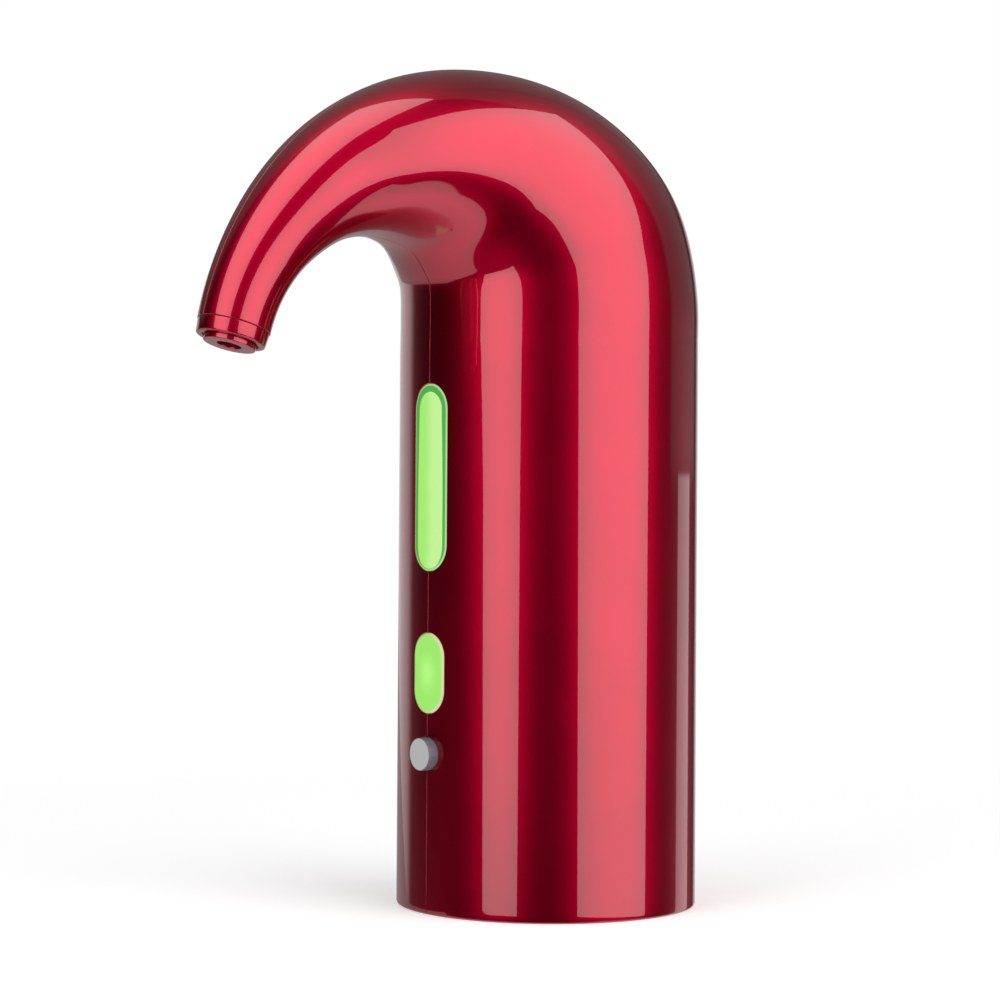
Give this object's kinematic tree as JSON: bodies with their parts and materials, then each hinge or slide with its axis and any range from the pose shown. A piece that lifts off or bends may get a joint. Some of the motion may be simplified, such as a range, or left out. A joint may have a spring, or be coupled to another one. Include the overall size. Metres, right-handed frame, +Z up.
{
  "type": "electric wine aerator",
  "caption": "bottle-top electric aerator and pourer with a gooseneck spout, a lit window, a pour key and a power button",
  "frame": {"origin": "centre of the bottle well's mouth, on the plane that the foot rests on", "axes": "+Z up along the body, -Y forward to the spout and the keys, +X to the right of someone who faces the keys"},
  "size_m": [0.0752, 0.1402, 0.2062],
  "materials": {
    "lacquered_shell": "metallic red lacquer under clear coat",
    "outlet_plastic": "metallic red, satin face",
    "window_plastic": "clear, lit green from behind",
    "diffuser_plastic": "milky diffuser",
    "key_plastic": "translucent, lit green from behind",
    "button_plastic": "satin grey",
    "switch_plastic": "moulded black",
    "lamp_resin": "clear lamp resin",
    "board_laminate": "green solder mask",
    "frame_plastic": "moulded dark grey",
    "base_plastic": "moulded black, fine grain",
    "foot_rubber": "soft matt black",
    "seal_rubber": "food grade elastomer, matt",
    "hose_silicone": "translucent silicone",
    "valve_plastic": "natural moulded",
    "pump_plastic": "moulded black",
    "screw_steel": "zinc plated",
    "motor_steel": "rolled can",
    "shaft_steel": "ground",
    "cell_wrap": "shrink sleeve",
    "contact_metal": "nickel plated",
    "lead_insulation": "stranded lead insulation"
  },
  "bodies": {
    "housing": {"left_shell": "lacquered_shell", "right_shell": "lacquered_shell", "nozzle_collar": "lacquered_shell", "nozzle_tip": "outlet_plastic", "aerator_insert": "outlet_plastic", "light_window": "window_plastic", "light_guide": "diffuser_plastic", "tact_switches": "switch_plastic", "green_leds": "lamp_resin", "main_board": "board_laminate", "chassis": "frame_plastic", "base_cover": "base_plastic", "foot_ring": "foot_rubber", "bottle_seal": "seal_rubber", "manifold": "frame_plastic", "wine_hose": "hose_silicone", "air_hose_lower": "hose_silicone", "check_valve": "valve_plastic", "air_hose_upper": "hose_silicone", "pump_cover": "pump_plastic", "valve_plate": "pump_plastic", "pump_diaphragm": "seal_rubber", "pump_housing": "pump_plastic", "pump_screws": "screw_steel", "pump_motor": "motor_steel", "battery_cell": "cell_wrap", "cell_contacts": "contact_metal", "motor_leads": "lead_insulation", "cell_leads": "lead_insulation", "charge_board": "board_laminate", "charge_socket": "contact_metal", "board_screws": "screw_steel", "frame_screws": "screw_steel", "manifold_screws": "screw_steel", "base_screws": "screw_steel"},
    "power_key": {"power_button": "button_plastic", "power_plunger": "switch_plastic"},
    "pour_lever": {"pour_key": "key_plastic", "pour_plunger": "switch_plastic"},
    "pump_rotor": {"motor_shaft": "shaft_steel", "eccentric": "pump_plastic", "crank_pin": "shaft_steel"},
    "swinger": {"swing_plate": "pump_plastic"}
  },
  "joints": [
    {"name": "power_press", "type": "slide", "parent": "housing", "child": "power_key", "axis": [0, 1, 0], "range_m": [0, 0.0006], "stiffness_N_per_m": 800, "springref_m": -0.001},
    {"name": "pour_press", "type": "slide", "parent": "housing", "child": "pour_lever", "axis": [0, 1, 0], "range_m": [0, 0.0006], "stiffness_N_per_m": 800, "springref_m": -0.001},
    {"name": "pump_spin", "type": "hinge", "parent": "housing", "child": "pump_rotor", "pos_m": [-0.0165, 0.0055, 0.0805], "axis": [0, 0, 1], "continuous": true},
    {"name": "plate_swing", "type": "hinge", "parent": "pump_rotor", "child": "swinger", "pos_m": [-0.0165, 0.0055, 0.0805], "axis": [0.1392, 0, 0.9903], "continuous": true}
  ],
  "couplings": [
    {"joint": "plate_swing", "follows": "pump_spin", "ratio": -1}
  ]
}
